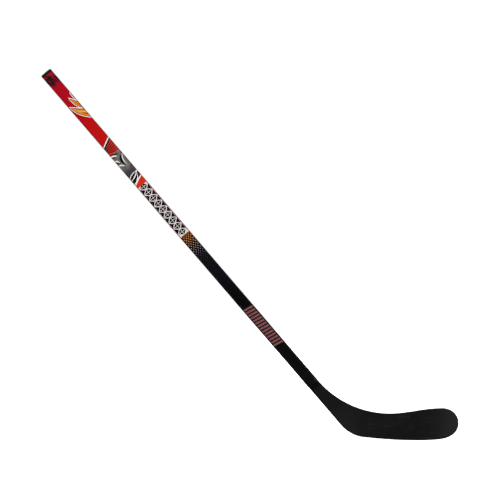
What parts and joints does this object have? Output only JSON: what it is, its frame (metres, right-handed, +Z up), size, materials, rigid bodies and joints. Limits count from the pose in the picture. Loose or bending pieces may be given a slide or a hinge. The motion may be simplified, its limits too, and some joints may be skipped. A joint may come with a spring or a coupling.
{
  "type": "ice hockey stick",
  "caption": "Youth ice hockey stick with a hollow rounded-rectangular shaft, a black butt cap and a curved, foam-cored blade, held in its playing position.",
  "frame": {"origin": "where the blade's sole touches the ice in the playing position", "axes": "+X along the blade towards its toe, +Z up from the ice, and the blade's forehand face looks to -Y; the shaft leans back towards -X"},
  "size_m": [0.9448, 0.0229, 0.8422],
  "materials": {
    "shaft_laminate": "woven fibre and resin, satin",
    "printed_film": "deep red to black print under a clear gloss coat",
    "copper_foil": "brushed copper-pink foil print",
    "cap_plastic": "black moulded plastic, satin with a fine grain",
    "cured_glue": "amber hot-melt glue",
    "core_foam": "pale closed-cell foam",
    "tenon_laminate": "solid laminate, sanded",
    "joint_wrap": "black laminated wrap, satin",
    "blade_laminate": "matte charcoal laminate with a fine grain",
    "edge_resin": "black filled resin, slightly polished by wear"
  },
  "bodies": {
    "root": {"shaft_tube": "shaft_laminate", "shaft_print_film": "printed_film", "foil_label_front": "copper_foil", "foil_label_back": "copper_foil", "butt_cap": "cap_plastic", "cap_adhesive": "cured_glue", "foam_dam": "core_foam", "blade_tenon": "tenon_laminate", "tenon_adhesive": "cured_glue", "joint_wrap": "joint_wrap", "blade_face_front": "blade_laminate", "blade_face_back": "blade_laminate", "top_edge_strip": "edge_resin", "sole_edge_strip": "edge_resin", "hosel_core": "core_foam", "blade_core_upper": "core_foam", "blade_core_lower": "core_foam", "blade_bridge_rib": "tenon_laminate"}
  },
  "joints": []
}
